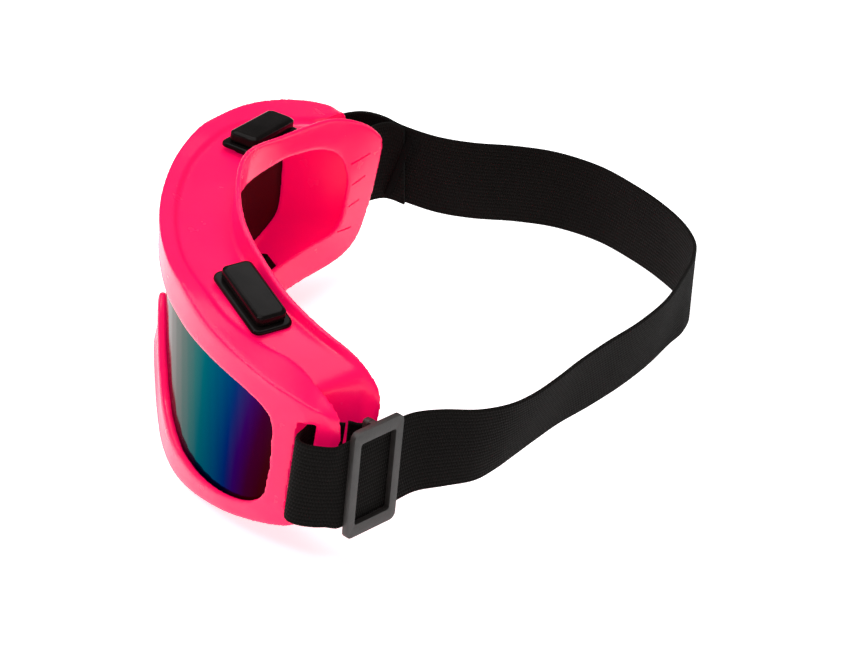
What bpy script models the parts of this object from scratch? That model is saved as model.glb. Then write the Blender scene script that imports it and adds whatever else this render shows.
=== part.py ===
"""Sports protective goggles: one moulded frame, mirrored lens, four two-piece vents,
an elastic webbing strap and a tri-glide slider.

The front of the goggles faces -Y, +Z is up, the wearer's left is +X. Lengths are written in
millimetres about the middle of the brow and turned into metres when a mesh is made. The
goggles stand on the plane Z = 0, and the origin is below the middle of their outer box.
"""
import math

import bmesh
import bpy
from mathutils import Matrix, Vector

MM = 0.001

# ---- driving dimensions (millimetres) -------------------------------------
CENTRE = (1.516, -86.8, 0.0)   # puts the origin below the middle of the outer box
FLOOR = 3.5            # the ring tables below are written with the floor at this height
LENS_SET_BACK = 2.5    # lens front face behind the rim face
LENS_THICKNESS = 1.4
LENS_OVERLAP = 2.2     # how far the lens edge runs into its groove
GROOVE_CLEARANCE = 0.15
RIM_DEPTH = 5.6        # thickness of the band that holds the lens
NOSE_LEAN = 3.5        # how far the nose end of the rim stands ahead of the brow end
RIM_TOP, RIM_BOTTOM = 81.0, 3.5

STRAP_WIDTH = 30.0
STRAP_THICKNESS = 1.4
SLOT_WIDTH = 5.6
SLOT_HEIGHT = 35.0
POST_Y, POST_Z = 53.0, 37.5   # the strap turns about the posts behind the two slots

VENT_LENGTH, VENT_WIDTH = 25.0, 10.2         # raised cover
VENT_BASE_LENGTH, VENT_BASE_WIDTH = 28.6, 13.8
VENT_BASE_THICKNESS = 1.6
VENT_PLUG_LENGTH, VENT_PLUG_WIDTH = 21.0, 7.6  # block that passes through the wall
VENT_PLUG_DEPTH = 8.0
VENT_COVER_HEIGHT = 3.4
VENT_GROOVE = 0.5
VENT_TURN = 30.0       # turn of the long side in plan, degrees
SEAT_DEPTH = 4.2       # depth of the flat seat sunk in the wall under a vent base

BUCKLE_LENGTH, BUCKLE_HEIGHT = 21.0, 37.0
BAR_WIDTH, BAR_THICKNESS = 3.0, 2.0
END_BAR_WIDTH = 4.2    # bars across the ends of the webbing's width
END_GAP = 1.15         # sewn end of the webbing behind the centre bar, centre to bar face

STEPS = 5              # mesh steps between two stations of the frame


# ---- small helpers ---------------------------------------------------------
def material(name, colour, roughness, metallic=0.0):
    mat = bpy.data.materials.new(name)
    mat.use_nodes = True
    shader = mat.node_tree.nodes["Principled BSDF"]
    shader.inputs["Base Color"].default_value = (*colour, 1.0)
    shader.inputs["Roughness"].default_value = roughness
    shader.inputs["Metallic"].default_value = metallic
    return mat


def pivot(name, point, parent=None):
    """Empty that carries pieces: its origin is a point of their joint's axis."""
    obj = bpy.data.objects.new(name, None)
    bpy.context.scene.collection.objects.link(obj)
    obj["origin"] = point
    obj.parent = parent
    offset = Vector(point) - Vector(parent["origin"]) if parent else Vector(CENTRE)
    obj.location = offset * MM
    return obj


def add_object(name, verts, faces, mat, smooth=True, holder=None):
    holder = holder or GOGGLES
    mesh = bpy.data.meshes.new(name)
    start = Vector(holder["origin"])
    mesh.from_pydata([(Vector(v) - start) * MM for v in verts], [], faces)
    work = bmesh.new()
    work.from_mesh(mesh)
    bmesh.ops.recalc_face_normals(work, faces=work.faces)
    if work.calc_volume(signed=True) < 0:
        bmesh.ops.reverse_faces(work, faces=work.faces)
    work.to_mesh(mesh)
    work.free()
    for poly in mesh.polygons:
        poly.use_smooth = smooth
    mesh.materials.append(mat)
    obj = bpy.data.objects.new(name, mesh)
    bpy.context.scene.collection.objects.link(obj)
    obj.parent = holder
    return obj


def cutter(name, verts, faces):
    obj = add_object(name, verts, faces, MAT_FRAME, smooth=False)
    obj.hide_render = True
    obj.display_type = "WIRE"
    return obj


def cut(target, tool, operation="DIFFERENCE"):
    mod = target.modifiers.new(tool.name, "BOOLEAN")
    mod.operation = operation
    mod.solver = "EXACT"
    mod.object = tool


def catmull(points, steps):
    """Smooth open curve through the points, end tangents level with their neighbours."""
    pts = [Vector(p) for p in points]
    out = []
    for i in range(len(pts) - 1):
        p1, p2 = pts[i], pts[i + 1]
        p0 = pts[i - 1] if i else p1
        p3 = pts[i + 2] if i + 2 < len(pts) else p2
        for k in range(steps):
            t = k / steps
            out.append(0.5 * ((2 * p1) + (p2 - p0) * t + (2 * p0 - 5 * p1 + 4 * p2 - p3) * t * t
                              + (3 * p1 - p0 - 3 * p2 + p3) * t ** 3))
    out.append(pts[-1])
    return out


def full_ring(half):
    """Closed ring from a half table (X >= 0) that starts and ends on the centre plane."""
    right = [Vector((abs(half[0][0]), *half[0][1:]))] + [Vector(p) for p in half[1:]]
    mirror = [Vector((-p[0], p[1], p[2])) for p in reversed(right)]
    loop = right + mirror[1:-1]
    count = len(loop)
    out = []
    for i in range(count):
        p0, p1, p2, p3 = (loop[(i + j) % count] for j in (-1, 0, 1, 2))
        for k in range(STEPS):
            t = k / STEPS
            out.append(0.5 * ((2 * p1) + (p2 - p0) * t + (2 * p0 - 5 * p1 + 4 * p2 - p3) * t * t
                              + (3 * p1 - p0 - 3 * p2 + p3) * t ** 3))
    return [Vector((p.x, p.y, p.z - FLOOR)) for p in out]


def plan_curve(x):
    """Set-back of the rim face at the side distance x."""
    return 3.2 + 0.0046 * x * x + 4.9e-15 * x ** 8


def face_y(x, z):
    side = max(0.0, 1.0 - (x / 75.0) ** 2)
    low = 1.0 - (z - RIM_BOTTOM) / (RIM_TOP - RIM_BOTTOM)
    return plan_curve(abs(x)) - NOSE_LEAN * side * low


def mix(a, b, t):
    return [tuple(p[i] * (1 - t) + q[i] * t for i in range(3)) for p, q in zip(a, b)]


def shift(ring, dx, dy, dz):
    """Move a half ring; dx is taken outward (none on the centre plane)."""
    return [(p[0] + (dx if p[0] > 3 else 0), p[1] + dy, p[2] + dz) for p in ring]


def on_face(outline, depth):
    return [(x, face_y(x, z) + depth, z) for x, z in outline]


# ---- frame: rings of the moulding, from the lens window outward and back -----
# 19 stations per half: brow centre, round the side, to the nose centre.
WINDOW = [(0, 66.5), (24, 66.5), (42, 66.5), (54, 66.3), (64, 65.5), (73.0, 62.8), (77.3, 59),
          (78.6, 54), (78, 41), (76.5, 28.5), (74.6, 24), (70, 20), (61, 17), (49, 15.5),
          (35, 16), (24, 21), (15.5, 30), (8.5, 40), (0, 48.0)]
OUTER = [(0, 3.2, 81), (25, 6, 81), (45, 13, 80.8), (58, 19.8, 78), (69, 28, 75.2),
         (79, 38.5, 70.8), (85.2, 51, 65.6), (86, 57, 60.5), (85.4, 56.3, 43), (84.5, 54.5, 26),
         (82.8, 46.5, 20), (78.0, 38, 16.2), (66, 25, 11.5), (51, 13.8, 7.5), (35, 7.0, 3.5),
         (21, 2.2, 4.3), (12.5, 0.4, 12), (6.5, -0.2, 22), (0, -0.4, 27)]
CREST = [(0, 8, 80.4), (25, 11, 80.2), (44, 19, 79.3), (55, 26, 76.8), (62.5, 35, 73.6),
         (67.5, 45, 70.4), (73.9, 52.9, 66.3), (84.4, 60.4, 60.6), (83.8, 59.3, 43),
         (83.0, 57.4, 26), (74.2, 50.5, 20.8), (68.5, 44, 17), (60, 33, 12.5), (48, 20, 8.8),
         (34, 12, 5.2), (21, 7.5, 6.5), (12.8, 5.6, 14), (6.6, 5, 23.6), (0, 5, 28.6)]
GAP_OUT = [(0, 8.8, 79.2), (25, 11.8, 79), (44, 19.9, 78.1), (55, 27, 75.6), (62.4, 36, 72.4),
           (67.4, 46, 69.0), (74.4, 52.0, 63.8), (80.2, 47.4, 58.5), (79.6, 46, 42),
           (78.8, 44.2, 27.5), (74.8, 49.0, 23.2), (68.2, 45, 18.4), (59.8, 34, 13.7),
           (47.8, 21, 10), (33.9, 12.9, 6.4), (21.3, 8.4, 7.9), (13.4, 6.4, 15), (7.0, 5.8, 24.6),
           (0, 5.8, 29.8)]
GAP_IN = [(0, 9.8, 79.1), (25, 12.8, 78.9), (43.8, 21, 77.9), (54.6, 28.2, 75.3), (61.8, 37.4, 72),
          (66.8, 47.4, 68.5), (73.2, 53.2, 63.6), (75.6, 46.4, 58.3), (75.0, 45, 42),
          (74.0, 43.4, 27.7), (73.4, 50.2, 23.4), (67.4, 46.2, 18.9), (59.4, 35.2, 14.1),
          (47.6, 22.2, 10.5), (33.9, 14, 7.0), (21.6, 9.4, 8.6), (13.7, 7.4, 15.9), (7.2, 6.8, 25.4),
          (0, 6.8, 30.6)]
ROOT = [(0, 26, 77), (21.5, 29.5, 77), (41.5, 40, 75), (52, 48, 73), (60, 55.5, 71),
        (65.5, 61.5, 69), (69.2, 65.5, 66), (70.9, 66.5, 59), (70.9, 65, 42), (69, 61, 28),
        (66, 57, 23.5), (61.5, 51.5, 21.5), (53.5, 44, 21.3), (44, 37, 22), (33.5, 30.5, 23),
        (24, 25.5, 26), (16, 22, 32), (8.2, 20, 39.3), (0, 19.2, 43)]
EDGE = [(0, 29, 90), (21, 31.5, 87.6), (41, 41.7, 80.5), (52, 49.5, 77.3), (60, 57, 74.8),
        (65, 64.5, 70.8), (69, 70, 65), (71.7, 72.3, 58), (71.9, 69.5, 42), (70.2, 65, 26),
        (67.5, 61, 19.5), (62.5, 55.5, 17), (54, 47.5, 17), (45, 41, 18), (34.5, 34, 18.4),
        (25, 29, 20), (16.8, 25, 26), (8.8, 22.8, 33.5), (0, 22, 37)]
OPENING = [(0, 26.8, 76.2), (19, 29.3, 75.3), (37, 39.8, 73), (46.5, 46.5, 70), (54, 52.5, 66.5),
           (58.5, 57.3, 62.3), (60.3, 60.1, 57), (60.6, 61.2, 50), (60.4, 60.2, 42.5),
           (60.2, 58.6, 35), (58.4, 55, 31), (54, 48.5, 29.6), (47.5, 42, 29.0), (40, 36, 28.7),
           (32, 30.5, 29.6), (24.2, 26, 33), (16, 22.3, 40), (8, 20, 47), (0, 19.2, 50)]
BACK = [(0, 23.2, 74.3), (20.3, 26.6, 74.2), (39, 37.2, 72.1), (49.2, 44.8, 70), (57.2, 51.6, 67.8),
        (62.4, 57.2, 65.2), (66, 61, 61.6), (67.8, 62.2, 55), (67.8, 61.4, 42.5), (66, 57.9, 31.5),
        (63, 54, 27.3), (58.2, 48, 25.6), (50.8, 41, 25.1), (42.5, 34.4, 25.6), (33, 28.2, 27),
        (24.3, 23.6, 30.4), (16, 20, 37), (8, 17.9, 43.7), (0, 17.2, 47)]
FRONT_IN = [(0, 75.6), (24, 75.5), (43, 74.6), (53.5, 72.4), (61.5, 69.8), (68.5, 66.5),
            (72.6, 61.5), (74.2, 55), (73.9, 41.5), (72.8, 30.5), (69.8, 25.6), (64, 20.6),
            (56.5, 16.6), (47, 13), (33.6, 10), (21.8, 12.6), (13.8, 20), (7.4, 29.4), (0, 35)]
REAR_WINDOW = [(0, 67.5), (23.8, 67.5), (41.5, 67.4), (52.5, 67), (60.6, 65.5), (68.4, 63.4),
               (73.0, 59.6), (75.2, 53.6), (74.9, 41.3), (73.6, 30.6), (69.8, 25.8), (63, 21.8),
               (55.6, 18.6), (46.4, 15.6), (33.8, 13.8), (22.4, 17.4), (14.4, 25.6), (7.9, 35.4),
               (0, 41.6)]


def frame_mesh():
    face_in = on_face(WINDOW, 0.4)
    seat_front = on_face([(x, z) for x, z in WINDOW], LENS_SET_BACK - 0.2)
    outer_front = [(x, y, z) for x, y, z in OUTER]
    mids = []
    for t in (0.12, 0.5, 0.86):
        row = []
        for (wx, wz), (ox, oy, oz) in zip(WINDOW, OUTER):
            x, z = wx + (ox - wx) * t, wz + (oz - wz) * t
            y = face_y(x, z) if t < 0.8 else min(face_y(x, z), oy)
            row.append((x, y - (0.15 if t < 0.2 else 0.0), z))
        mids.append(row)
    crest_a = mix(CREST, OUTER, 0.72)
    halves = [
        seat_front, face_in, mids[0], mids[1], mids[2], outer_front, crest_a, CREST,
        GAP_OUT, GAP_IN, mix(GAP_IN, ROOT, 0.5), ROOT,
        mix(ROOT, shift(EDGE, 0.2, -1.9, 0), 0.5), shift(EDGE, 0.4, -1.8, 0), EDGE,
        mix(EDGE, OPENING, 0.33), mix(EDGE, OPENING, 0.67), OPENING,
        shift(mix(OPENING, BACK, 0.12), 0, -1.3, 0),
        BACK, mix(BACK, on_face(FRONT_IN, RIM_DEPTH), 0.5), on_face(FRONT_IN, RIM_DEPTH),
        on_face(REAR_WINDOW, RIM_DEPTH),
        [(x, face_y(x, z) + LENS_SET_BACK + LENS_THICKNESS + 0.5, z) for x, z in REAR_WINDOW],
    ]
    rings = [full_ring(half) for half in halves]
    count = len(rings[0])
    verts = [v for ring in rings for v in ring]
    faces = []
    for i in range(len(rings)):
        a, b = i * count, ((i + 1) % len(rings)) * count
        for j in range(count):
            k = (j + 1) % count
            faces.append((a + j, a + k, b + k, b + j))
    return verts, faces


# ---- flat plate that follows the rim face ------------------------------------
def plate_between(upper, lower, front, back, extra=0.0):
    """Plate from an upper and a lower edge given as functions of x, sampled on both."""
    span = [i / 40.0 for i in range(41)]
    verts, faces, rows = [], [], 8
    for depth in (front, back):
        for s in span:
            x = PLATE_HALF * math.sin((s - 0.5) * math.pi)
            z1, z0 = upper(abs(x)), lower(abs(x))
            for r in range(rows + 1):
                z = z0 + (z1 - z0) * r / rows
                rake = SIDE_RAKE * (50.0 - z) / 30.0 * (abs(x) / PLATE_HALF) ** 8
                px = x - math.copysign(rake, x)
                py = face_y(abs(px), z + FLOOR) + depth
                if s in (0.0, 1.0):
                    px, py = px + math.copysign(extra, x), py + 1.2 * extra
                verts.append((px, py, z))
    n, m = len(span), rows + 1
    for side in (0, 1):
        base = side * n * m
        for i in range(n - 1):
            for r in range(rows):
                a = base + i * m + r
                faces.append((a, a + m, a + m + 1, a + 1) if side else (a, a + 1, a + m + 1, a + m))
    off = n * m
    for i in range(n - 1):
        for r in (0, rows):
            a, b = i * m + r, (i + 1) * m + r
            faces.append((a, b, b + off, a + off) if r == 0 else (a, a + off, b + off, b))
    for i in (0, n - 1):
        for r in range(rows):
            a, b = i * m + r, i * m + r + 1
            faces.append((a, a + off, b + off, b) if i == 0 else (a, b, b + off, a + off))
    return verts, faces


PLATE_HALF = 78.6 + LENS_OVERLAP - 0.8
SIDE_RAKE = 1.8        # the short sides of the lens lean inward toward the bottom


def table(points):
    def value(x):
        for (x0, z0), (x1, z1) in zip(points, points[1:]):
            if x <= x1:
                t = (x - x0) / (x1 - x0)
                return z0 + (z1 - z0) * t
        return points[-1][1]
    return value


def lens_edges(grow):
    top = [(x, z) for x, z in WINDOW[:8]]
    low = [(x, z) for x, z in reversed(WINDOW[9:])]
    return (table([(x, z - FLOOR + grow) for x, z in top] + [(90, top[-1][1] - FLOOR + grow)]),
            table([(x, z - FLOOR - grow) for x, z in low] + [(90, low[-1][1] - FLOOR - grow)]))


# ---- rounded bars and blocks --------------------------------------------------
def rounded_rect(half_x, half_y, radius, per_corner=4):
    pts = []
    for cx, cy, start in ((half_x - radius, half_y - radius, 0), (radius - half_x, half_y - radius, 90),
                          (radius - half_x, radius - half_y, 180), (half_x - radius, radius - half_y, 270)):
        for i in range(per_corner + 1):
            a = math.radians(start + 90 * i / per_corner)
            pts.append((cx + radius * math.cos(a), cy + radius * math.sin(a)))
    return pts


def stack(levels):
    """Closed body from stacked outlines: list of (height, outline)."""
    verts, faces = [], []
    n = len(levels[0][1])
    for z, ring in levels:
        verts += [(x, y, z) for x, y in ring]
    faces.append(tuple(reversed(range(n))))
    for i in range(len(levels) - 1):
        a, b = i * n, (i + 1) * n
        faces += [(a + j, a + (j + 1) % n, b + (j + 1) % n, b + j) for j in range(n)]
    faces.append(tuple(range(len(verts) - n, len(verts))))
    return verts, faces


def place(verts, matrix):
    return [tuple(matrix @ Vector(v)) for v in verts]


def box(size, matrix=None):
    sx, sy, sz = (s / 2 for s in size)
    verts = [(x, y, z) for x in (-sx, sx) for y in (-sy, sy) for z in (-sz, sz)]
    faces = [(0, 1, 3, 2), (4, 6, 7, 5), (0, 4, 5, 1), (2, 3, 7, 6), (0, 2, 6, 4), (1, 5, 7, 3)]
    return (place(verts, matrix) if matrix else verts), faces


# ---- vents ---------------------------------------------------------------------
def vent_matrix(side, level):
    """Pose of a vent: its own +X runs along the long side, its own +Z points out of the body."""
    if level > 0:
        centre, fall_x, fall_y = Vector((45.3, 33.2, 75.35 - FLOOR + 0.4)), -0.15, -0.16
    else:
        centre, fall_x, fall_y = Vector((47.0, 31.0, 15.6 - FLOOR)), 0.12, 0.56
    turn = math.radians(VENT_TURN)
    along = Vector((math.cos(turn), math.sin(turn), 0))
    along.z = along.x * fall_x + along.y * fall_y
    across = Vector((-math.sin(turn), math.cos(turn), 0))
    across.z = across.x * fall_x + across.y * fall_y
    along.normalize()
    normal = along.cross(across).normalized() * level
    if side < 0:
        centre.x, along.x, normal.x = -centre.x, -along.x, -normal.x
    across = normal.cross(along).normalized()
    return Matrix.Translation(centre) @ Matrix((along, across, normal)).transposed().to_4x4()


def build_vents():
    plug = rounded_rect(VENT_PLUG_LENGTH / 2, VENT_PLUG_WIDTH / 2, 1.6)
    base = rounded_rect(VENT_BASE_LENGTH / 2, VENT_BASE_WIDTH / 2, 2.6)
    base_small = rounded_rect(VENT_BASE_LENGTH / 2 - 0.5, VENT_BASE_WIDTH / 2 - 0.5, 2.2)
    neck = rounded_rect(VENT_LENGTH / 2 - 0.7, VENT_WIDTH / 2 - 0.7, 1.4)
    cover = rounded_rect(VENT_LENGTH / 2, VENT_WIDTH / 2, 2.0)
    cover_small = rounded_rect(VENT_LENGTH / 2 - 1.0, VENT_WIDTH / 2 - 1.0, 1.6)
    for side, tag in ((1, "left"), (-1, "right")):
        for level, row in ((1, "top"), (-1, "bottom")):
            pose = vent_matrix(side, level)
            low = 0.55
            verts, faces = stack([(-VENT_PLUG_DEPTH, plug), (low, plug), (low, base),
                                  (low + VENT_BASE_THICKNESS - 0.5, base),
                                  (low + VENT_BASE_THICKNESS, base_small)])
            add_object(f"vent_base_{row}_{tag}", place(verts, pose), faces, MAT_VENT)
            start = low + VENT_BASE_THICKNESS + 0.03
            verts, faces = stack([(start, neck), (start + VENT_GROOVE, neck),
                                  (start + VENT_GROOVE, cover),
                                  (start + VENT_GROOVE + VENT_COVER_HEIGHT - 0.7, cover),
                                  (start + VENT_GROOVE + VENT_COVER_HEIGHT, cover_small)])
            add_object(f"vent_cover_{row}_{tag}", place(verts, pose), faces, MAT_VENT)
            hole = rounded_rect(VENT_PLUG_LENGTH / 2 + 0.25, VENT_PLUG_WIDTH / 2 + 0.25, 1.8)
            seat = rounded_rect(VENT_BASE_LENGTH / 2 + 0.3, VENT_BASE_WIDTH / 2 + 0.3, 2.8)
            verts, faces = stack([(-VENT_PLUG_DEPTH - 3, hole), (low - 0.15, hole),
                                  (low - 0.15, seat), (low + SEAT_DEPTH, seat)])
            cut(FRAME, cutter(f"hole_{row}_{tag}", place(verts, pose), faces))


# ---- strap ---------------------------------------------------------------------
def band(path, along=Vector((0, 1, 0)), width=STRAP_WIDTH, thickness=STRAP_THICKNESS):
    """Closed webbing strip along (x, y, z, lean, tip) stations: its top edge leans toward
    `along` by lean, and outward by tip."""
    pts = [Vector(p[:3]) for p in path]
    verts, faces = [], []
    for i, p in enumerate(pts):
        run = (pts[min(i + 1, len(pts) - 1)] - pts[max(i - 1, 0)]).normalized()
        flat = Vector((run.x, run.y, 0)).normalized()
        side = Vector((flat.y, -flat.x, 0))
        up = (Vector((0, 0, 1)) + along * path[i][3] + side * path[i][4]).normalized()
        for s, u in ((-1, -1), (1, -1), (1, 1), (-1, 1)):
            verts.append(p + side * (s * thickness / 2) + up * (u * width / 2))
    n = len(pts)
    faces.append((0, 1, 2, 3))
    for i in range(n - 1):
        a, b = 4 * i, 4 * i + 4
        faces += [(a + j, b + j, b + (j + 1) % 4, a + (j + 1) % 4) for j in range(4)]
    faces.append(tuple(4 * (n - 1) + j for j in (3, 2, 1, 0)))
    return verts, faces


def smooth_path(points, steps=5):
    """Smooth (x, y, z, lean, tip) stations; a station that gives no tip has none."""
    full = [(*p, 0.0) if len(p) == 4 else p for p in points]
    xyz = catmull([p[:3] for p in full], steps)
    slants = []
    for a, b in zip(full, full[1:]):
        slants += [[a[j] + (b[j] - a[j]) * k / steps for j in (3, 4)] for k in range(steps)]
    slants.append(full[-1][3:])
    return [(*p, *slant) for p, slant in zip(xyz, slants)]


LEAN = 0.14            # the lugs, and the webbing on them, lean rearward toward the top
# outer layer at the wearer's left lug, then back through the slider
LEFT_LOOP = [(78.7, 59.5, 36.9, LEAN), (78.8, 54.5, 37.3, LEAN), (79.4, 49.4, 37.5, LEAN),
             (82.2, 47.5, 37.6, LEAN), (85.4, 45.5, 37.6, LEAN), (88.4, 45.9, 37.5, LEAN),
             (90.3, 49.0, 37.3, LEAN), (90.9, 54.0, 36.9, LEAN), (90.3, 57.3, 36.5, 0.12),
             (89.2, 59.7, 35.95, 0.10)]
BUCKLE_RUN = [(88.82, 60.1, 35.87, 0.10), (80.5, 68.2, 34.4, 0.10), (72.18, 76.3, 32.93, 0.10)]
LEFT_RUN = [(71.9, 76.57, 32.88, 0.10), (66.9, 82.6, 32.2, 0.03, 0.03), (64.0, 91.0, 31.4, 0, 0.05),
            (61.0, 101.1, 30.2, 0, 0.15), (55.3, 109.1, 29.2, 0, 0.27), (47.9, 115.7, 28.3, 0, 0.33),
            (38.6, 122.6, 27.3, 0, 0.34), (28.2, 130.2, 26.3, 0, 0.32), (17.0, 139.4, 24.9, 0, 0.28),
            (4.0, 150.0, 23.3, 0, 0.28), (-10.5, 159.3, 21.4, 0, 0.26), (-26.0, 166.3, 19.3, 0, 0.18)]
REAR_RUN = [(-26.3, 166.4, 19.25, 0, 0.18), (-36.0, 170.6, 18.1, 0, 0.10), (-47.0, 172.6, 17.2, 0, 0.04),
            (-59.0, 170.0, 16.7, 0), (-71.0, 163.4, 16.5, 0), (-81.0, 154.8, 17.2, 0)]
RIGHT_RUN = [(-81.3, 154.6, 17.2, 0), (-89.5, 144.0, 18.8, 0), (-93.6, 130.0, 21.6, 0),
             (-93.4, 116.0, 24.3, 0), (-90.9, 102.0, 27.2, 0), (-90.0, 90.0, 30.2, 0),
             (-91.4, 79.0, 33.6, 0), (-93.2, 71.6, 36.3, 0.06)]
RIGHT_LOOP = [(-93.25, 71.3, 36.4, 0.06), (-93.6, 64.6, 38.0, 0.10), (-92.0, 58.0, 38.6, LEAN),
              (-89.3, 52.2, 38.3, LEAN), (-86.0, 48.3, 38.0, LEAN), (-81.9, 47.5, 37.8, LEAN),
              (-79.4, 49.4, 37.6, LEAN), (-79.2, 55.5, 37.3, LEAN), (-82.6, 62.4, 37.0, 0.12),
              (-87.2, 67.8, 36.6, 0.08), (-90.6, 73.6, 35.6, 0.06), (-89.5, 79.0, 33.7, 0)]


def build_strap():
    rear, slanted = Vector((0, 1, 0)), Vector((-0.716, 0.698, 0))
    for name, points, along, holder in (("strap_left_loop", LEFT_LOOP, rear, TILT_AXIS),
                                        ("strap_slider_run", BUCKLE_RUN, slanted, TILT_AXIS),
                                        ("strap_left_run", LEFT_RUN, slanted, TILT_AXIS),
                                        ("strap_rear_run", REAR_RUN, rear, STRETCH_AXIS),
                                        ("strap_right_run", RIGHT_RUN, rear, TILT_AXIS),
                                        ("strap_right_loop", RIGHT_LOOP, rear, TILT_AXIS)):
        add_object(name, *band(smooth_path(points), along), MAT_STRAP, holder=holder)


def build_slider():
    """Tri-glide slider: outer frame in front of the webbing, centre bar behind it."""
    a, b = Vector(BUCKLE_RUN[0][:3]), Vector(BUCKLE_RUN[-1][:3])
    run = (b - a).normalized()
    flat = Vector((run.x, run.y, 0)).normalized()
    out = Vector((flat.y, -flat.x, 0))
    up = (Vector((0, 0, 1)) + flat * 0.09).normalized()
    up = (up - run * up.dot(run)).normalized()
    out = run.cross(up).normalized()
    middle = (a + b) / 2
    pose = Matrix.Translation(middle) @ Matrix((run, up, out)).transposed().to_4x4()
    outer = rounded_rect(BUCKLE_LENGTH / 2, BUCKLE_HEIGHT / 2, 2.2)
    inner = rounded_rect(BUCKLE_LENGTH / 2 - BAR_WIDTH, BUCKLE_HEIGHT / 2 - END_BAR_WIDTH, 1.0)
    lift = STRAP_THICKNESS / 2 + 0.25
    levels = [(lift, outer, inner), (lift + BAR_THICKNESS, outer, inner)]
    verts, faces, n = [], [], len(outer)
    for z, o, i in levels:
        verts += [(x, y, z) for x, y in o] + [(x, y, z) for x, y in i]
    for j in range(n):
        k = (j + 1) % n
        faces += [(j, k, 2 * n + k, 2 * n + j), (n + k, n + j, 3 * n + j, 3 * n + k),
                  (k, j, n + j, n + k), (2 * n + j, 2 * n + k, 3 * n + k, 3 * n + j)]
    slider = add_object("slider_frame", place(verts, pose), faces, MAT_SLIDER,
                        holder=SLIDER_AXIS)
    # the centre bar is joined to the frame by a foot at each end, beyond the webbing edges
    bar_half = BUCKLE_HEIGHT / 2 - 0.4
    bar = stack([(-lift - BAR_THICKNESS, rounded_rect(BAR_WIDTH / 2, bar_half, 1.0)),
                 (-lift, rounded_rect(BAR_WIDTH / 2, bar_half, 1.0))])
    cut(slider, cutter("bar_tool", place(bar[0], pose), bar[1]), "UNION")
    for end in (-1, 1):
        foot = Matrix.Translation((0, end * (BUCKLE_HEIGHT / 2 - 1.5), 0))
        verts, faces = box((BAR_WIDTH - 0.6, 1.9, 2 * lift + 2 * BAR_THICKNESS - 1.0), pose @ foot)
        cut(slider, cutter(f"foot_tool_{end + 1}", verts, faces), "UNION")
    return pose, lift


def build_strap_end(pose, lift):
    """Inner layer: from the lug loop back to the centre bar of the slider, with its sewn fold."""
    start = Vector(LEFT_LOOP[0][:3])
    back = pose @ Vector((-3.4, 0, -lift - BAR_THICKNESS - END_GAP))
    side = pose @ Vector((2.0, 0, -lift - BAR_THICKNESS - END_GAP))
    mid = (start + back) / 2 + Vector((-0.3, -0.2, 0))
    first = start + (back - start).normalized() * 1.2
    points = [(*first, LEAN), (*mid, 0.12), (*back, 0.10), (*side, 0.10)]
    verts, faces = band(smooth_path(points), Vector((-0.68, 0.73, 0)))
    add_object("strap_left_end", verts, faces, MAT_STRAP, holder=SLIDER_AXIS)


def build_stitches(pose, lift):
    """Bar-tacks: flat blocks of thread on the webbing, one on each sewn joint."""
    block = rounded_rect(1.1, STRAP_WIDTH / 2 - 2.5, 0.5)
    depth = -lift - BAR_THICKNESS - END_GAP - STRAP_THICKNESS / 2
    verts, faces = stack([(depth - 1.1, block), (depth - 0.6, block)])
    offset = Matrix.Translation((0.6, 0, 0))
    add_object("bartack_left", place(verts, pose @ offset), faces, MAT_THREAD,
               holder=SLIDER_AXIS)
    a, b = Vector(RIGHT_LOOP[-2][:3]), Vector(RIGHT_LOOP[-1][:3])
    run = (b - a).normalized()
    inward = Vector((0, 0, 1)).cross(run).normalized()
    inward = inward if inward.x > 0 else -inward
    up = inward.cross(run).normalized()
    here = Matrix.Translation(b - run * 1.6) @ Matrix((run, -up, inward)).transposed().to_4x4()
    verts, faces = stack([(STRAP_THICKNESS / 2 + 0.45, block), (STRAP_THICKNESS / 2 + 0.95, block)])
    add_object("bartack_right", place(verts, here), faces, MAT_THREAD, holder=TILT_AXIS)


# ---- build ---------------------------------------------------------------------
for old in list(bpy.data.objects):
    bpy.data.objects.remove(old, do_unlink=True)

MAT_FRAME = material("frame_pink", (0.95, 0.035, 0.16), 0.28)
MAT_LENS = material("lens_mirror", (0.02, 0.12, 0.25), 0.08, 0.6)
MAT_VENT = material("vent_black", (0.012, 0.011, 0.012), 0.22)
MAT_STRAP = material("strap_black", (0.012, 0.011, 0.011), 0.9)
MAT_SLIDER = material("slider_grey", (0.05, 0.047, 0.046), 0.5)
MAT_THREAD = material("thread_black", (0.02, 0.02, 0.02), 0.8)

GOGGLES = pivot("goggles", (0, 0, 0))
TILT_AXIS = pivot("strap_tilt_axis", (0, POST_Y, POST_Z), GOGGLES)
STRETCH_AXIS = pivot("strap_stretch_axis", REAR_RUN[2][:3], TILT_AXIS)
SLIDER_AXIS = pivot("slider_adjust_axis", BUCKLE_RUN[1][:3], TILT_AXIS)

ring_verts, ring_faces = frame_mesh()
FRAME = add_object("frame", ring_verts, ring_faces, MAT_FRAME)

upper, lower = lens_edges(LENS_OVERLAP)
add_object("lens", *plate_between(upper, lower, LENS_SET_BACK, LENS_SET_BACK + LENS_THICKNESS),
           MAT_LENS)
upper, lower = lens_edges(LENS_OVERLAP + GROOVE_CLEARANCE)
cut(FRAME, cutter("lens_groove", *plate_between(upper, lower, LENS_SET_BACK - GROOVE_CLEARANCE,
                                                LENS_SET_BACK + LENS_THICKNESS
                                                + GROOVE_CLEARANCE, GROOVE_CLEARANCE)))

for lug_side, lug in ((1, "left"), (-1, "right")):
    slot = Matrix.Translation((lug_side * 84.0, 47.9, 41.5 - FLOOR)) @ Matrix.Shear("XY", 4, (0, LEAN))
    slot_verts, slot_faces = box((12.0, SLOT_WIDTH, SLOT_HEIGHT), slot)
    cut(FRAME, cutter(f"strap_slot_{lug}", slot_verts, slot_faces))

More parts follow.
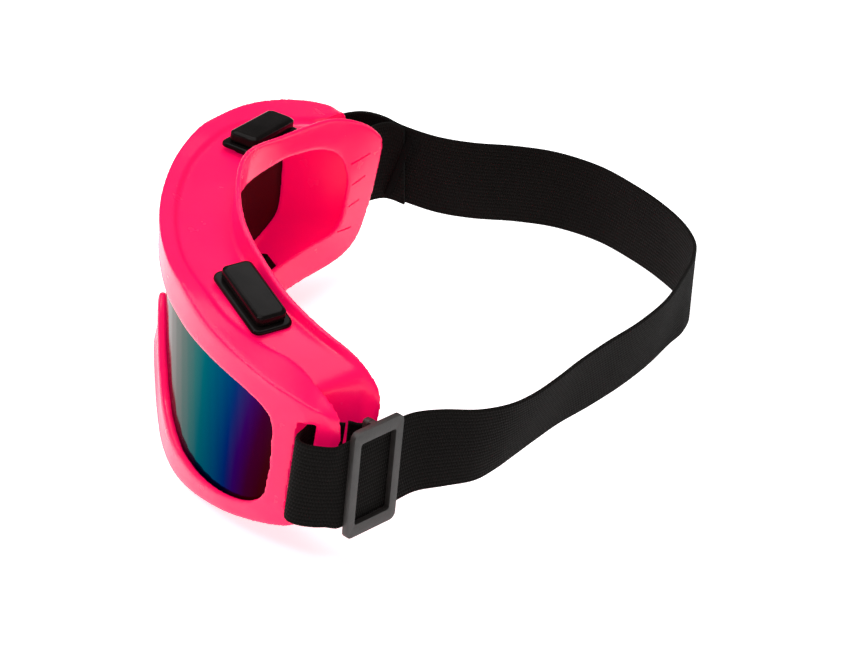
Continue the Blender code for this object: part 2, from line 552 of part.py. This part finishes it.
# the two lowest humps of the lower rim end in small flats that the goggles stand on
under_verts, under_faces = box((120.0, 60.0, 4.0), Matrix.Translation((0, 10.0, -2.0)))
cut(FRAME, cutter("standing_plane", under_verts, under_faces))

build_vents()
build_strap()
slider_pose, slider_lift = build_slider()
build_strap_end(slider_pose, slider_lift)
build_stitches(slider_pose, slider_lift)
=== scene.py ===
import math

import bmesh
import bpy
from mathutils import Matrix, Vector
from mathutils.bvhtree import BVHTree


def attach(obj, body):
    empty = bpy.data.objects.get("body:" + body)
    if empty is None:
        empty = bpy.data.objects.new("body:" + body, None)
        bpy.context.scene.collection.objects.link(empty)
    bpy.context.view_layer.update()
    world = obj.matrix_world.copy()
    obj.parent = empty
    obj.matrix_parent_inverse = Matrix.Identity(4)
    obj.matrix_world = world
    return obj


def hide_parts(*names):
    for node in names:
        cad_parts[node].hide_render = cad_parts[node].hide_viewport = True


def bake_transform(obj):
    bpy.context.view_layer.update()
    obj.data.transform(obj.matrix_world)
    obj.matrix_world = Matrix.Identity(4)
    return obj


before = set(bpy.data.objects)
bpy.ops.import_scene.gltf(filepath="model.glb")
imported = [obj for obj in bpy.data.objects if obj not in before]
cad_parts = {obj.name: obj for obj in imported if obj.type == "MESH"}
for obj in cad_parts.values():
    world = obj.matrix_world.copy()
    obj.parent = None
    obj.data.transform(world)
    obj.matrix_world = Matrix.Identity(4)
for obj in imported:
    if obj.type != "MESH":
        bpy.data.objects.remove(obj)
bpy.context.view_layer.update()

MM = 0.001
CENTRE = Vector((1.516, -86.8, 0.0))     # millimetres: design coordinates to the row frame

# ---- webbing -------------------------------------------------------------
STRAP_WIDTH = 30.0
STRAP_THICKNESS = 1.4
RIB_COUNT = 22
RIB_DEPTH = 0.17
RIB_SAMPLES = 5
STEP_LENGTH = 1.4      # mm between cross-sections
UV_SCALE = 0.01        # band coordinates per mm
CURVE_STEPS = 12       # curve points between two stations
EDGE_ROUNDING = 0.6    # mm at each edge over which the band thins
EDGE_THINNESS = 0.45   # share of the thickness left at the very edge
RIB_ROUNDNESS = 0.7    # below 1 makes the ribs blunter than a sine
STITCH_LENGTH = 0.85   # mm between knitted stitches along a rib
LEAN = 0.14            # how far back the loops lean per unit of height
SEWN_END_START = 520.0     # mm along the webbing at which the sewn end's knit pattern starts


def at(x, y, z):
    """A design point in millimetres as a point of the row frame in metres."""
    return (Vector((x, y, z)) + CENTRE) * MM


def link(obj):
    bpy.context.scene.collection.objects.link(obj)
    return obj


def catmull(points, steps):
    """Points along a smooth curve that passes through the given ones."""
    out = []
    for i in range(len(points) - 1):
        p1, p2 = points[i], points[i + 1]
        p0 = points[i - 1] if i else p1
        p3 = points[i + 2] if i + 2 < len(points) else p2
        for k in range(steps):
            t = k / steps
            out.append(0.5 * ((2 * p1) + (p2 - p0) * t + (2 * p0 - 5 * p1 + 4 * p2 - p3) * t * t
                              + (3 * p1 - p0 - 3 * p2 + p3) * t ** 3))
    out.append(points[-1])
    return out


def smooth_vectors(values, rounds):
    """The vectors evened out with their neighbours; the first and last stay."""
    for _ in range(rounds):
        values = [values[0]] + [(values[i - 1] + values[i] * 2 + values[i + 1]) / 4
                                for i in range(1, len(values) - 1)] + [values[-1]]
    return values


def section():
    """Cross-section of the webbing: (across, depth) with lengthwise ribs on both faces."""
    pitch = STRAP_WIDTH / RIB_COUNT
    count = RIB_COUNT * RIB_SAMPLES
    face = []
    for i in range(count + 1):
        across = -STRAP_WIDTH / 2 + STRAP_WIDTH * i / count
        rib = abs(math.sin(math.pi * (across + STRAP_WIDTH / 2) / pitch)) ** RIB_ROUNDNESS
        edge = min(1.0, (STRAP_WIDTH / 2 - abs(across)) / EDGE_ROUNDING)
        depth = STRAP_THICKNESS / 2 - RIB_DEPTH * (1 - rib)
        thinning = EDGE_THINNESS + (1 - EDGE_THINNESS) * math.sqrt(edge)
        face.append((across, depth * thinning))
    return face + [(a, -d) for a, d in reversed(face)]


def even_stations(stations):
    """Evenly spaced (point, lean vector, tip) along the smooth curve through the stations."""
    track = catmull([Vector(p) for p, _, _ in stations], CURVE_STEPS)
    leans = catmull([Vector(lean) for _, lean, _ in stations], CURVE_STEPS)
    tips = catmull([Vector((tip, 0, 0)) for _, _, tip in stations], CURVE_STEPS)
    lengths = [0.0]
    for a, b in zip(track, track[1:]):
        lengths.append(lengths[-1] + (b - a).length)
    count = max(3, round(lengths[-1] / STEP_LENGTH))
    out, j = [], 0
    for i in range(count + 1):
        s = lengths[-1] * i / count
        while j < len(track) - 2 and lengths[j + 1] < s:
            j += 1
        span = lengths[j + 1] - lengths[j]
        t = (s - lengths[j]) / span if span else 0.0
        out.append((track[j].lerp(track[j + 1], t), leans[j].lerp(leans[j + 1], t),
                    tips[j].lerp(tips[j + 1], t).x))
    return out, lengths[-1]


def webbing(name, stations, start_length=0.0):
    """Ribbed elastic band; its top edge follows each station's lean and tips outward."""
    even, total = even_stations(stations)
    count = len(even) - 1
    runs = [(even[min(i + 1, count)][0] - even[max(i - 1, 0)][0]).normalized()
            for i in range(count + 1)]
    runs = smooth_vectors(runs, 2)
    profile = section()
    ring = len(profile)
    bm = bmesh.new()
    uv = bm.loops.layers.uv.new("band")
    rows, where = [], {}
    for i, (point, lean, tip) in enumerate(even):
        flat = Vector((runs[i].x, runs[i].y, 0)).normalized()
        side = Vector((flat.y, -flat.x, 0))
        up = (Vector((0, 0, 1)) + lean + side * tip).normalized()
        out = runs[i].cross(up).normalized()
        row = [bm.verts.new((point + up * a + out * d + CENTRE) * MM) for a, d in profile]
        along = start_length + total * i / count
        for vert, (across, _) in zip(row, profile):
            where[vert] = (along * UV_SCALE, (across + STRAP_WIDTH / 2) * UV_SCALE)
        rows.append(row)
    faces = [bm.faces.new(tuple(reversed(rows[0]))), bm.faces.new(tuple(rows[-1]))]
    for a, b in zip(rows, rows[1:]):
        for j in range(ring):
            k = (j + 1) % ring
            faces.append(bm.faces.new((a[j], a[k], b[k], b[j])))
    for face in faces:
        face.smooth = len(face.verts) == 4
        for loop in face.loops:
            loop[uv].uv = where[loop.vert]
    bmesh.ops.recalc_face_normals(bm, faces=bm.faces)
    mesh = bpy.data.meshes.new(name)
    bm.to_mesh(mesh)
    bm.free()
    return link(bpy.data.objects.new(name, mesh))


def leaning(points, along):
    """Stations (x, y, z, lean, tip) as (point, lean vector, tip); no tip given means none."""
    return [(p[:3], tuple(c * p[3] for c in along), p[4] if len(p) > 4 else 0.0) for p in points]


# directions in which the bands' top edges lean
REAR, SLANTED, SEWN_SLANT = (0, 1, 0), (-0.716, 0.698, 0), (-0.60, 0.78, 0)
# stations (x, y, z, lean, tip) of the strap, from the left lug round the back to the right one
LEFT_LOOP = [(78.7, 59.5, 36.9, LEAN), (78.8, 54.5, 37.3, LEAN), (79.4, 49.4, 37.5, LEAN),
             (82.2, 47.5, 37.6, LEAN), (85.4, 45.5, 37.6, LEAN), (88.4, 45.9, 37.5, LEAN),
             (90.3, 49.0, 37.3, LEAN), (90.9, 54.0, 36.9, LEAN), (90.3, 57.3, 36.5, 0.12)]
BUCKLE_RUN = [(88.82, 60.1, 35.87, 0.10), (80.5, 68.2, 34.4, 0.10), (72.18, 76.3, 32.93, 0.10)]
LEFT_RUN = [(66.9, 82.6, 32.2, 0.03, 0.03), (64.0, 91.0, 31.4, 0, 0.05),
            (61.0, 101.1, 30.2, 0, 0.15), (55.3, 109.1, 29.2, 0, 0.27),
            (47.9, 115.7, 28.3, 0, 0.33), (38.6, 122.6, 27.3, 0, 0.34),
            (28.2, 130.2, 26.3, 0, 0.32), (17.0, 139.4, 24.9, 0, 0.28),
            (4.0, 150.0, 23.3, 0, 0.28), (-10.5, 159.3, 21.4, 0, 0.26)]
REAR_RUN = [(-26.1, 166.3, 19.3, 0, 0.18), (-36.0, 170.6, 18.1, 0, 0.10),
            (-47.0, 172.6, 17.2, 0, 0.04), (-59.0, 170.0, 16.7, 0), (-71.0, 163.4, 16.5, 0),
            (-81.1, 154.7, 17.2, 0)]
RIGHT_RUN = [(-89.5, 144.0, 18.8, 0), (-93.6, 130.0, 21.6, 0), (-93.4, 116.0, 24.3, 0),
             (-90.9, 102.0, 27.2, 0), (-90.0, 90.0, 30.2, 0), (-91.4, 79.0, 33.6, 0),
             (-93.2, 71.4, 36.35, 0.06)]
RIGHT_LOOP = [(-93.6, 64.6, 38.0, 0.10), (-92.0, 58.0, 38.6, LEAN), (-89.3, 52.2, 38.3, LEAN),
              (-86.0, 48.3, 38.0, LEAN), (-81.9, 47.5, 37.8, LEAN), (-79.4, 49.4, 37.6, LEAN),
              (-79.2, 55.5, 37.3, LEAN), (-82.6, 62.4, 37.0, 0.12), (-87.2, 67.8, 36.6, 0.08),
              (-90.6, 73.6, 35.6, 0.06), (-89.5, 79.0, 33.7, 0)]
# inner layer between the left lug and the slider's centre bar
LEFT_END = [(78.55, 60.9, 36.7, 0.13), (78.3, 62.6, 36.2, 0.11), (77.95, 64.6, 35.4, 0.10),
            (76.6, 66.3, 34.9, 0.10)]


# ---- materials -------------------------------------------------------------
COATING_HALF_SPAN = 0.080    # metres from the middle of the lens to the last colour
COATING_LEVEL = 0.055        # height at which the colours lie at their plain distance
COATING_SLANT = 0.17         # how far the colour bands lean outward with height
COATING_WAVER = 0.006        # metres by which the bands wander
COATING_COLOURS = [
    (0.15, (0.30, 0.26, 0.235)), (0.34, (0.22, 0.21, 0.19)), (0.51, (0.09, 0.165, 0.150)),
    (0.62, (0.030, 0.140, 0.140)), (0.71, (0.004, 0.092, 0.130)),
    (0.79, (0.001, 0.052, 0.115)), (0.855, (0.008, 0.020, 0.100)),
    (0.91, (0.024, 0.004, 0.065)), (0.955, (0.028, 0.001, 0.016)),
    (1.00, (0.026, 0.002, 0.004))]
LENS_INSIDE = (0.045, 0.012, 0.010, 1.0)


def new_material(name):
    mat = bpy.data.materials.new(name)
    mat.use_nodes = True
    return mat, mat.node_tree, mat.node_tree.nodes["Principled BSDF"]


def add(tree, kind, sockets=(), **settings):
    """A node of that kind; sockets holds (input name or index, value or output socket)."""
    made = tree.nodes.new(kind)
    for key, value in settings.items():
        setattr(made, key, value)
    for key, value in sockets:
        if isinstance(value, bpy.types.NodeSocket):
            tree.links.new(value, made.inputs[key])
        else:
            made.inputs[key].default_value = value
    return made


def maths(tree, operation, first, second=0.0, clamp=False):
    return add(tree, "ShaderNodeMath", ((0, first), (1, second)), operation=operation,
               use_clamp=clamp).outputs[0]


def noise(tree, scale, detail=3.0):
    coords = add(tree, "ShaderNodeTexCoord").outputs["Object"]
    return add(tree, "ShaderNodeTexNoise", (("Vector", coords), ("Scale", scale),
               ("Detail", detail))).outputs["Fac"]


def ramp(tree, factor, stops):
    made = add(tree, "ShaderNodeValToRGB", ((0, factor),))
    elements = made.color_ramp.elements
    while len(elements) < len(stops):
        elements.new(0.5)
    for element, (place, colour) in zip(elements, stops):
        element.position = place
        element.color = (*colour, 1.0)
    return made.outputs["Color"]


def bump(tree, shader, height, strength, distance):
    made = add(tree, "ShaderNodeBump", (("Height", height), ("Strength", strength),
               ("Distance", distance)))
    tree.links.new(made.outputs["Normal"], shader.inputs["Normal"])


def spread(tree, factor, low, high):
    return add(tree, "ShaderNodeMapRange", (("Value", factor), ("To Min", low),
               ("To Max", high))).outputs[0]


def pink_moulding():
    mat, tree, shader = new_material("frame_pink_soft_painted_glow")
    clouds = noise(tree, 38.0, 2.0)
    grain = noise(tree, 900.0, 2.0)
    colour = ramp(tree, clouds, [(0.2, (0.84, 0.003, 0.070)), (0.8, (0.90, 0.005, 0.079))])
    tree.links.new(colour, shader.inputs["Base Color"])
    tree.links.new(spread(tree, noise(tree, 120.0, 4.0), 0.22, 0.30), shader.inputs["Roughness"])
    shader.inputs["Specular IOR Level"].default_value = 0.28
    shader.inputs["Subsurface Weight"].default_value = 0.25
    shader.inputs["Subsurface Radius"].default_value = (0.003, 0.0006, 0.001)
    shader.inputs["Subsurface Scale"].default_value = 1.0
    shader.inputs["Emission Color"].default_value = (1.0, 0.0, 0.125, 1.0)   # painted glow: lifts the shaded faces and the cavity, though the frame is no lamp
    shader.inputs["Emission Strength"].default_value = 0.40
    bump(tree, shader, grain, 0.06, 0.0002)
    return mat


def mirror_lens():
    """Interference coating: its colour runs from the middle of the lens out to both sides."""
    mat, tree, shader = new_material("lens_rainbow_mirror")
    coords = add(tree, "ShaderNodeTexCoord")
    place = add(tree, "ShaderNodeSeparateXYZ", ((0, coords.outputs["Object"]),))
    facing = add(tree, "ShaderNodeSeparateXYZ", ((0, coords.outputs["Normal"]),))
    off_centre = maths(tree, "ABSOLUTE", maths(tree, "SUBTRACT", place.outputs["X"], CENTRE.x * MM))
    waver = maths(tree, "MULTIPLY", maths(tree, "SUBTRACT", noise(tree, 14.0, 1.0), 0.5),
                  COATING_WAVER)
    fall = maths(tree, "MULTIPLY", maths(tree, "SUBTRACT", COATING_LEVEL, place.outputs["Z"]),
                 COATING_SLANT)
    across = maths(tree, "DIVIDE", maths(tree, "ADD", maths(tree, "ADD", off_centre, waver), fall),
                   COATING_HALF_SPAN, clamp=True)
    coating = ramp(tree, across, COATING_COLOURS)
    inside = maths(tree, "GREATER_THAN", facing.outputs["Y"], 0.0)
    mixed = add(tree, "ShaderNodeMix", (("Factor", inside), (6, coating),
                (7, LENS_INSIDE)), data_type="RGBA")
    tree.links.new(mixed.outputs[2], shader.inputs["Base Color"])
    tree.links.new(spread(tree, inside, 1.0, 0.2), shader.inputs["Metallic"])
    shader.inputs["Specular Tint"].default_value = (0.42, 0.42, 0.42, 1.0)
    tree.links.new(spread(tree, noise(tree, 60.0, 3.0), 0.07, 0.14), shader.inputs["Roughness"])
    bump(tree, shader, noise(tree, 22.0, 1.0), 0.05, 0.0010)
    return mat


def vent_plastic():
    mat, tree, shader = new_material("vent_black_gloss")
    tree.links.new(ramp(tree, noise(tree, 150.0), [(0.35, (0.004, 0.0032, 0.003)),
                   (0.7, (0.008, 0.0062, 0.006))]), shader.inputs["Base Color"])
    tree.links.new(spread(tree, noise(tree, 260.0, 4.0), 0.10, 0.22), shader.inputs["Roughness"])
    shader.inputs["Specular IOR Level"].default_value = 0.07
    bump(tree, shader, noise(tree, 700.0, 3.0), 0.10, 0.0003)
    return mat


def slider_plastic():
    mat, tree, shader = new_material("slider_grey_satin")
    tree.links.new(ramp(tree, noise(tree, 220.0), [(0.3, (0.017, 0.014, 0.013)),
                   (0.7, (0.026, 0.022, 0.020))]), shader.inputs["Base Color"])
    tree.links.new(spread(tree, noise(tree, 600.0, 4.0), 0.40, 0.58), shader.inputs["Roughness"])
    bump(tree, shader, noise(tree, 1800.0, 3.0), 0.25, 0.0002)
    return mat


def elastic_webbing():
    """Knitted ribs: rows of small stitches along each rib, alternating from rib to rib."""
    mat, tree, shader = new_material("strap_elastic_knit")
    flat = add(tree, "ShaderNodeUVMap", uv_map="band").outputs["UV"]
    place = add(tree, "ShaderNodeSeparateXYZ", ((0, flat),))
    rib = maths(tree, "MULTIPLY", place.outputs["Y"], RIB_COUNT / STRAP_WIDTH / UV_SCALE)
    shifted = maths(tree, "MULTIPLY", maths(tree, "FLOOR", rib), math.pi)
    stitch = maths(tree, "MULTIPLY", place.outputs["X"], math.tau / STITCH_LENGTH / UV_SCALE)
    knit = maths(tree, "SINE", maths(tree, "ADD", stitch, shifted))
    fuzz = noise(tree, 2600.0, 3.0)
    worn = noise(tree, 55.0, 3.0)
    height = maths(tree, "ADD", maths(tree, "MULTIPLY", knit, 0.5),
                   maths(tree, "MULTIPLY", fuzz, 0.9))
    # colour follows the knit's height: painted shade in the dips between stitches and lighter
    # crowns, plus random fibre fuzz and wear
    knit_shade_and_wear = maths(tree, "ADD", maths(tree, "MULTIPLY", height, 0.45),
                 maths(tree, "MULTIPLY", worn, 0.4), clamp=True)
    colour = ramp(tree, knit_shade_and_wear, [(0.15, (0.0022, 0.0017, 0.0014)), (0.75, (0.0075, 0.0060, 0.0052)),
                  (1.0, (0.022, 0.017, 0.014))])
    tree.links.new(colour, shader.inputs["Base Color"])
    shader.inputs["Roughness"].default_value = 0.88
    shader.inputs["Specular IOR Level"].default_value = 0.10
    shader.inputs["Sheen Weight"].default_value = 0.02
    shader.inputs["Sheen Roughness"].default_value = 0.4
    bump(tree, shader, height, 0.55, 0.00025)
    return mat


def sewing_thread():
    mat, tree, shader = new_material("thread_black_twist")
    coords = add(tree, "ShaderNodeTexCoord").outputs["Object"]
    strands = add(tree, "ShaderNodeTexWave", (("Vector", coords), ("Scale", 900.0),
                  ("Distortion", 2.0)), bands_direction="DIAGONAL").outputs["Fac"]
    # colour follows the strands' height: painted shade in the grooves between strands, lighter
    # crests
    tree.links.new(ramp(tree, strands, [(0.2, (0.0015, 0.0013, 0.0012)),
                   (0.9, (0.005, 0.0043, 0.004))]), shader.inputs["Base Color"])
    shader.inputs["Roughness"].default_value = 0.8
    shader.inputs["Specular IOR Level"].default_value = 0.05
    bump(tree, shader, strands, 0.5, 0.0002)
    return mat


# ---- refined copies of the moulded pieces ------------------------------------
DOUBLES = 2e-6           # corners closer than this are one
FACET_ANGLE = 1.0        # degrees below which neighbouring facets are one face
BEVEL_ANGLE = 28.0       # degrees above which an edge is rounded
CRISP_ANGLE = 50.0       # degrees above which an edge stays sharp on a hard piece
EDGE_RADIUS = {"base": 0.00045, "cover": 0.0007, "slider": 0.0006, "thread": 0.0002}
SKIN_VOXEL = 0.00045     # grid of the re-skinned frame and lens
FRAME_PASSES, LENS_PASSES = 16, 20    # rounds of smoothing over that grid
FRAME_FACES = 0.5        # share of the frame's faces kept
FRAME_ANGLE = 55.0       # degrees above which an edge stays sharp on the frame


def copy_of(node, name):
    """New object with the node's shape, its doubled corners merged."""
    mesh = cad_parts[node].data.copy()
    bm = bmesh.new()
    bm.from_mesh(mesh)
    bmesh.ops.remove_doubles(bm, verts=bm.verts, dist=DOUBLES)
    bm.to_mesh(mesh)
    bm.free()
    mesh.materials.clear()
    mesh.name = name
    return link(bpy.data.objects.new(name, mesh))


def settle(obj):
    """Replaces the mesh with what its modifiers make of it."""
    graph = bpy.context.evaluated_depsgraph_get()
    mesh = bpy.data.meshes.new_from_object(obj.evaluated_get(graph))
    obj.modifiers.clear()
    obj.data = mesh
    return obj


def crisp(node, name, width):
    """Hard plastic piece with its flat facets joined and its edges rounded."""
    obj = copy_of(node, name)
    bm = bmesh.new()
    bm.from_mesh(obj.data)
    bmesh.ops.dissolve_limit(bm, angle_limit=math.radians(FACET_ANGLE), verts=bm.verts,
                             edges=bm.edges)
    bm.to_mesh(obj.data)
    bm.free()
    edge = obj.modifiers.new("edges", "BEVEL")
    edge.width = width
    edge.segments = 3
    edge.limit_method = "ANGLE"
    edge.angle_limit = math.radians(BEVEL_ANGLE)
    settle(obj)
    obj.data.shade_smooth()
    obj.data.set_sharp_from_angle(angle=math.radians(CRISP_ANGLE))
    return obj


# short moulded lines on the temple flanges: (inner end, outer end) on the wearer's left
FLANGE_LINES = [((61.6, 61.8, 52.7), (67.4, 67.9, 53.4)), ((61.5, 61.9, 44.7), (66.0, 66.8, 45.2)),
                ((61.0, 60.9, 36.2), (65.2, 65.0, 36.4)), ((59.6, 57.4, 27.3), (64.6, 61.7, 26.2))]
GROOVE_WIDTH, GROOVE_DEPTH, GROOVE_REACH = 0.0007, 0.0008, 0.0015
FLANGE_FACING = (-0.73, 0.68, 0)      # the way the left flange's rear face looks
RAY_START, RAY_LENGTH = 0.004, 0.010  # where the search for the flange's surface begins and ends


def groove_tool(obj):
    """Thin blocks sunk in the temple flanges along the moulded lines."""
    surface = BVHTree.FromPolygons([v.co for v in obj.data.vertices],
                                   [p.vertices for p in obj.data.polygons])
    bm = bmesh.new()
    for side in (1, -1):
        normal = Vector((FLANGE_FACING[0] * side, FLANGE_FACING[1], 0)).normalized()
        for line in FLANGE_LINES:
            first, last = (surface.ray_cast(at(x * side, y, z) + normal * RAY_START, -normal,
                                            RAY_LENGTH)[0] for x, y, z in line)
            across = normal.cross((last - first).normalized()) * GROOVE_WIDTH / 2
            ring = [(-across - normal * GROOVE_DEPTH), (across - normal * GROOVE_DEPTH),
                    (across + normal * GROOVE_REACH), (-across + normal * GROOVE_REACH)]
            low = [bm.verts.new(first + r) for r in ring]
            high = [bm.verts.new(last + r) for r in ring]
            bm.faces.new(list(reversed(low)))
            bm.faces.new(high)
            for j in range(4):
                k = (j + 1) % 4
                bm.faces.new((low[j], low[k], high[k], high[j]))
    bmesh.ops.recalc_face_normals(bm, faces=bm.faces)
    mesh = bpy.data.meshes.new("groove_tool")
    bm.to_mesh(mesh)
    bm.free()
    return link(bpy.data.objects.new("groove_tool", mesh))


def even_skin(node, name, passes):
    """The node's shape in an even grid of small faces, its edges softened as a mould leaves them."""
    obj = copy_of(node, name)
    voxels = obj.modifiers.new("voxels", "REMESH")
    voxels.mode = "VOXEL"
    voxels.voxel_size = SKIN_VOXEL
    voxels.use_smooth_shade = True
    soften = obj.modifiers.new("soften", "SMOOTH")
    soften.factor = 0.5
    soften.iterations = passes
    return settle(obj)


def moulded_frame():
    """The frame re-skinned, with the moulded lines cut into its temple flanges."""
    obj = even_skin("frame", "frame_moulding", FRAME_PASSES)
    fewer = obj.modifiers.new("fewer", "DECIMATE")
    fewer.ratio = FRAME_FACES
    settle(obj)
    tool = groove_tool(obj)
    lines = obj.modifiers.new("lines", "BOOLEAN")
    lines.object = tool
    lines.operation = "DIFFERENCE"
    lines.solver = "EXACT"
    settle(obj)
    bpy.data.objects.remove(tool, do_unlink=True)
    obj.data.shade_smooth()
    obj.data.set_sharp_from_angle(angle=math.radians(FRAME_ANGLE))
    return obj


# ---- camera and studio ---------------------------------------------------------
CAMERA_AZIMUTH, CAMERA_ELEVATION = math.radians(89.7), math.radians(35.0)
CAMERA_DISTANCE = 1.335
CAMERA_AIM = Vector((0.0, 0.0003, 0.032))
FOCAL_LENGTH = 176.8
LAMP_AIM = Vector((0.0, 0.0, 0.04))
# lamp name: (place, (width, height), watts)
LAMPS = {"overhead": ((-0.10, -0.05, 0.85), (1.1, 1.1), 9.0),
         "near_side": ((1.05, -0.10, 0.30), (0.8, 0.5), 1.0),
         "front_side": ((-0.25, -1.00, 0.55), (0.6, 0.4), 1.2),
         "crest_strip": ((0.25, -0.37, 0.53), (0.05, 0.12), 0.8)}
FLOOR_SIZE, FLOOR_DROP = 6.0, 0.0004


def place_camera():
    data = bpy.data.cameras.new("camera")
    camera = link(bpy.data.objects.new("camera", data))
    data.sensor_width = 36.0
    data.lens = FOCAL_LENGTH
    data.clip_start, data.clip_end = 0.1, 20.0
    level = math.cos(CAMERA_ELEVATION)
    back = Vector((math.sin(CAMERA_AZIMUTH) * level, -math.cos(CAMERA_AZIMUTH) * level,
                   math.sin(CAMERA_ELEVATION)))
    camera.location = CAMERA_AIM + back * CAMERA_DISTANCE
    camera.rotation_mode = "QUATERNION"
    camera.rotation_quaternion = (-back).to_track_quat("-Z", "Y")
    bpy.context.scene.camera = camera


def area_light(name, place, size, power):
    data = bpy.data.lights.new(name, "AREA")
    data.shape = "RECTANGLE"
    data.size, data.size_y = size
    data.energy = power
    lamp = link(bpy.data.objects.new(name, data))
    lamp.location = place
    lamp.rotation_mode = "QUATERNION"
    lamp.rotation_quaternion = (LAMP_AIM - Vector(place)).to_track_quat("-Z", "Y")


def studio():
    scene = bpy.context.scene
    scene.view_settings.view_transform = "Standard"
    world = bpy.data.worlds.new("studio")
    scene.world = world
    world.use_nodes = True
    world.node_tree.nodes["Background"].inputs["Color"].default_value = (1.0, 1.0, 1.0, 1.0)
    world.node_tree.nodes["Background"].inputs["Strength"].default_value = 0.14
    for name, lamp in LAMPS.items():
        area_light(name, *lamp)
    bpy.ops.mesh.primitive_plane_add(size=FLOOR_SIZE, location=(0, 0, -FLOOR_DROP))
    floor = bpy.context.object
    floor.name = "floor"
    mat, tree, shader = new_material("floor_pale")
    tree.links.new(ramp(tree, noise(tree, 3.0), [(0.0, (0.90, 0.90, 0.90)),
                   (1.0, (0.94, 0.94, 0.94))]), shader.inputs["Base Color"])
    shader.inputs["Roughness"].default_value = 0.9
    shader.inputs["Specular IOR Level"].default_value = 0.0
    shader.inputs["Emission Color"].default_value = (1.0, 1.0, 1.0, 1.0)
    shader.inputs["Emission Strength"].default_value = 0.72
    floor.data.materials.append(mat)


def dress(obj, mat, slot_name, body, *nodes):
    """Gives the piece its material and, where one is given, its body; hides the CAD nodes that it
    stands for.
    """
    obj.data.materials.clear()
    obj.data.materials.append(mat)
    if body:
        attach(obj, body)
    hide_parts(*nodes)


place_camera()
studio()

# ---- pieces --------------------------------------------------------------------
dress(moulded_frame(), pink_moulding(), "frame_pink", "goggles", "frame")
dress(even_skin("lens", "lens_shell", LENS_PASSES), mirror_lens(), "lens_mirror", "goggles", "lens")

VENT = vent_plastic()
for row in ("top", "bottom"):
    for tag in ("left", "right"):
        for part in ("base", "cover"):
            node = f"vent_{part}_{row}_{tag}"
            dress(crisp(node, f"{node}_moulded", EDGE_RADIUS[part]), VENT, "vent_black", "goggles",
                  node)

dress(crisp("slider_frame", "slider_moulded", EDGE_RADIUS["slider"]), slider_plastic(),
      "slider_grey", "slider", "slider_frame")

STRAP = elastic_webbing()
strap = webbing("strap_webbing", leaning(LEFT_LOOP, REAR) + leaning(BUCKLE_RUN + LEFT_RUN, SLANTED)
                + leaning(REAR_RUN + RIGHT_RUN + RIGHT_LOOP, REAR))
dress(strap, STRAP, "strap_black", None, "strap_left_loop", "strap_slider_run", "strap_left_run",
      "strap_rear_run", "strap_right_run", "strap_right_loop")
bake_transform(strap)

end = webbing("strap_sewn_end", leaning(LEFT_END, SEWN_SLANT), SEWN_END_START)
dress(end, STRAP, "strap_black", "slider", "strap_left_end")

THREAD = sewing_thread()
for tag, body in (("left", "slider"), ("right", "strap")):
    node = f"bartack_{tag}"
    dress(crisp(node, f"{node}_sewn", EDGE_RADIUS["thread"]), THREAD, "thread_black", body, node)
